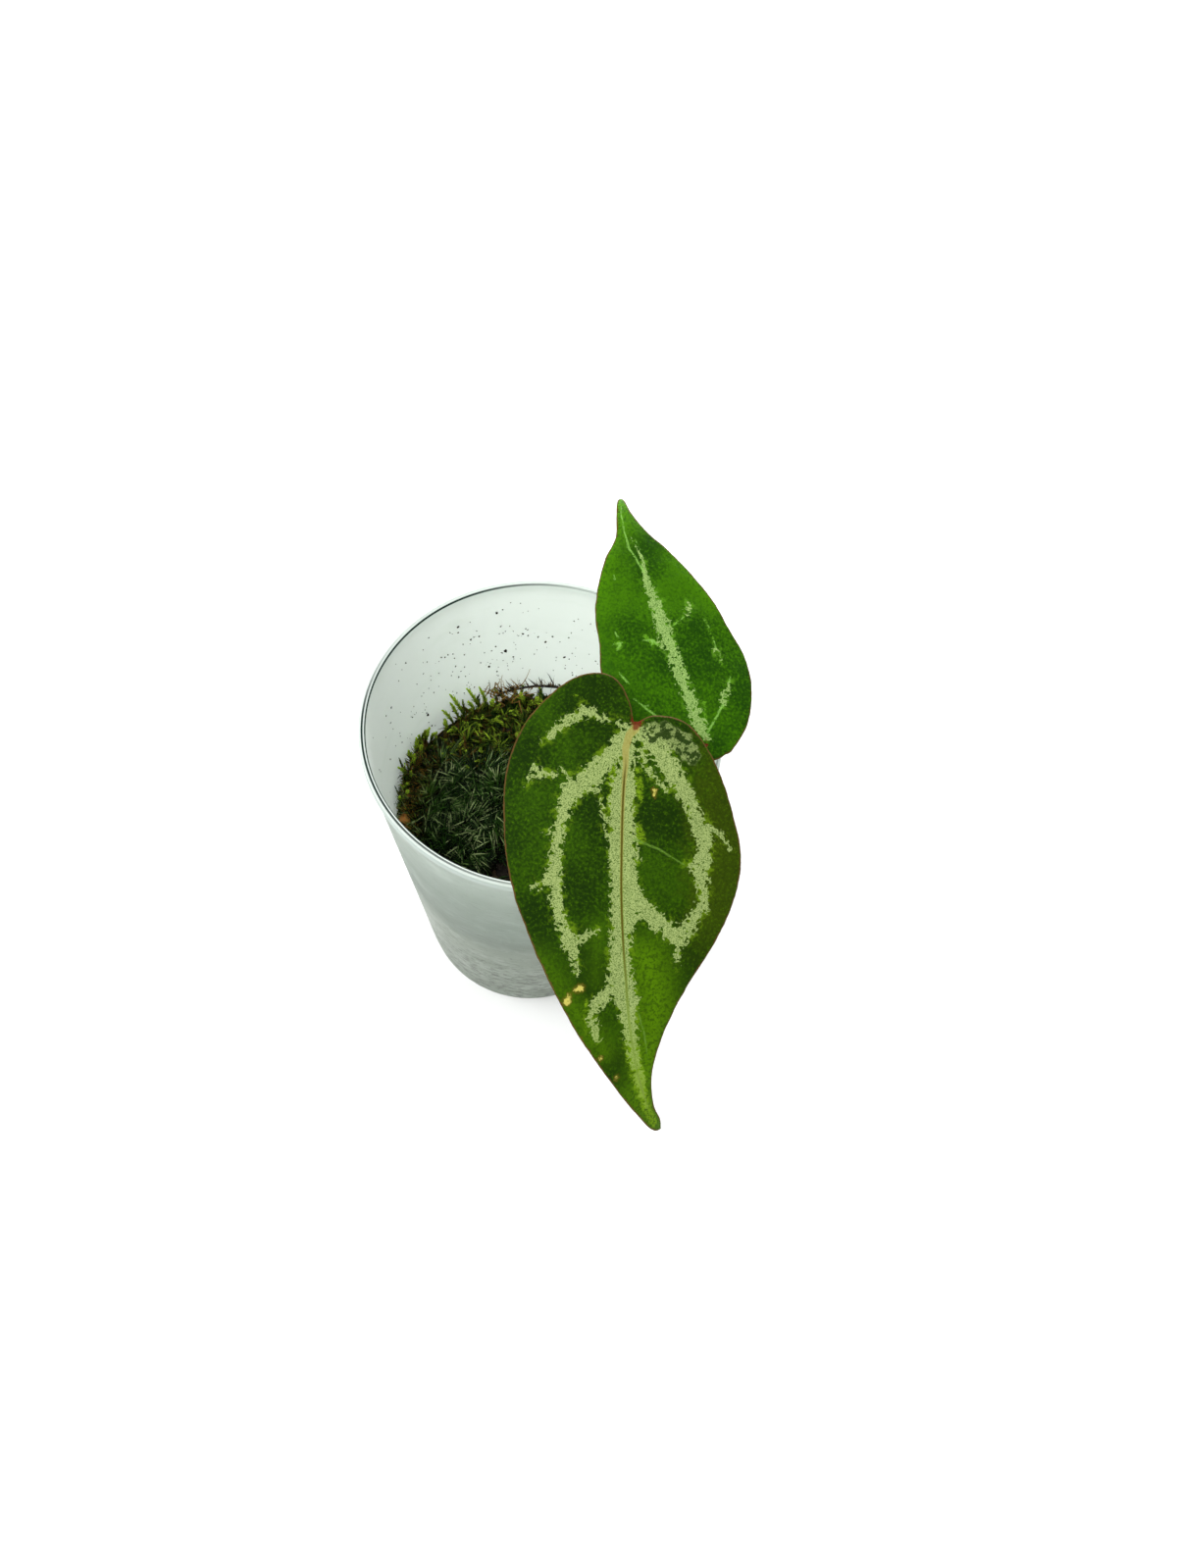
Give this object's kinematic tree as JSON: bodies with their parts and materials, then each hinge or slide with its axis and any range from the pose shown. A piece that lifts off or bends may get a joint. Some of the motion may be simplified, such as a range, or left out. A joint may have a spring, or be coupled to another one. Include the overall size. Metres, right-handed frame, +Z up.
{
  "type": "potted anthurium",
  "caption": "Young anthurium with silver-veined heart-shaped leaves on slender stalks, growing from moss and soil in a tapered milky plastic tumbler.",
  "frame": {"origin": "centre of the tumbler's flat base, on the surface it stands on", "axes": "+Z up the tumbler's axis, -Y towards the tip of the large leaf and the viewer, +X to the viewer's right"},
  "size_m": [0.0931, 0.1371, 0.153],
  "materials": {
    "cup": "milky translucent moulded plastic, glossy",
    "soil": "damp dark peat and fine bark",
    "root": "pale corky root skin and papery brown scale leaves",
    "petiole": "smooth green stalk, flushed red at the knee",
    "blade_dark": "velvety dark green with granular silver veins and a thin brown-pink margin",
    "blade_young": "velvety fresh green with a silver midrib band",
    "moss_dark": "dark green needle moss with pale tips",
    "moss_bright": "yellow-green feathery moss with brown dead shoots"
  },
  "bodies": {
    "root": {"cup": "cup", "soil": "soil", "rootstock": "root", "petiole_large": "petiole", "petiole_small": "petiole", "blade_large": "blade_dark", "blade_small": "blade_young", "moss_cushion": "moss_dark", "moss_feather": "moss_bright"}
  },
  "joints": []
}
